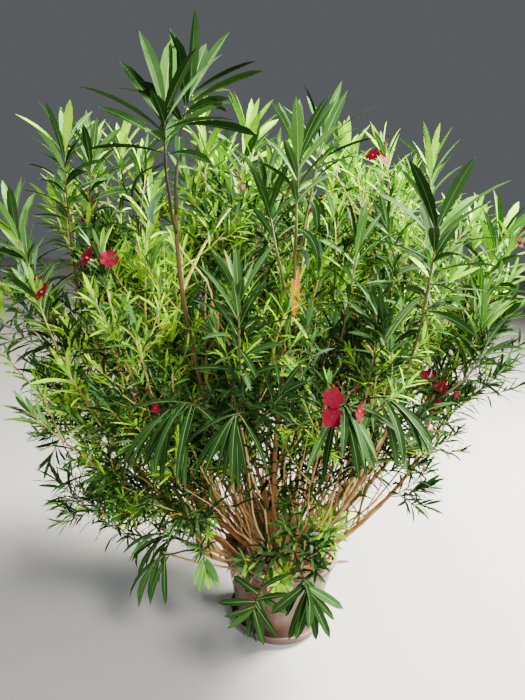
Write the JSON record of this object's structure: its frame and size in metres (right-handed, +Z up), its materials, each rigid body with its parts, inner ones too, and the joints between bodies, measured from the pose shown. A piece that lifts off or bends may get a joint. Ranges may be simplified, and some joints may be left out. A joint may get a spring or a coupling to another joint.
{
  "type": "potted oleander",
  "caption": "Tall oleander shrub in a round brown plastic pot on its saucer: canes fan out to whorls of narrow leaves with a few crimson blossoms.",
  "frame": {"origin": "centre of the saucer's flat underside, on the ground under the pot's axis", "axes": "+Z up along the pot's axis, +X to the right and +Y away, seen from the front"},
  "size_m": [1.853, 1.5061, 1.7647],
  "materials": {
    "pot_plastic": "brown plastic with a dull sheen, scuffed and dusty",
    "soil": "dry potting soil under dead leaves",
    "bark": "thin grey-brown bark",
    "foliage": "leathery green leaves with paler midribs",
    "petals": "soft crimson petals"
  },
  "bodies": {
    "root": {"cane_centre": "bark", "cane_hanging_left": "bark", "cane_hanging_right": "bark", "cane_left": "bark", "cane_left_front": "bark", "cane_left_middle": "bark", "cane_left_rear": "bark", "cane_middle": "bark", "cane_rear": "bark", "cane_rear_left": "bark", "cane_rear_right": "bark", "cane_right": "bark", "cane_right_front": "bark", "cane_right_low": "bark", "cane_right_rear": "bark", "cane_rim_left": "bark", "cane_tall_left": "bark", "foliage_centre_1": "foliage", "foliage_centre_2": "foliage", "foliage_hanging_left_1": "foliage", "foliage_hanging_left_2": "foliage", "foliage_hanging_right_1": "foliage", "foliage_hanging_right_2": "foliage", "foliage_hanging_right_3": "foliage", "foliage_left_1": "foliage", "foliage_left_2": "foliage", "foliage_left_front_1": "foliage", "foliage_left_front_2": "foliage", "foliage_left_middle_1": "foliage", "foliage_left_middle_2": "foliage", "foliage_left_rear_1": "foliage", "foliage_left_rear_2": "foliage", "foliage_middle_1": "foliage", "foliage_middle_2": "foliage", "foliage_middle_3": "foliage", "foliage_rear_1": "foliage", "foliage_rear_2": "foliage", "foliage_rear_3": "foliage", "foliage_rear_left_1": "foliage", "foliage_rear_left_2": "foliage", "foliage_rear_right_1": "foliage", "foliage_rear_right_2": "foliage", "foliage_right_1": "foliage", "foliage_right_2": "foliage", "foliage_right_front_1": "foliage", "foliage_right_front_2": "foliage", "foliage_right_front_3": "foliage", "foliage_right_low_1": "foliage", "foliage_right_low_2": "foliage", "foliage_right_rear_1": "foliage", "foliage_right_rear_2": "foliage", "foliage_rim_left_1": "foliage", "foliage_rim_left_2": "foliage", "foliage_tall_left_1": "foliage", "foliage_tall_left_2": "foliage", "pot": "pot_plastic", "saucer": "pot_plastic", "soil": "soil"}
  },
  "joints": []
}
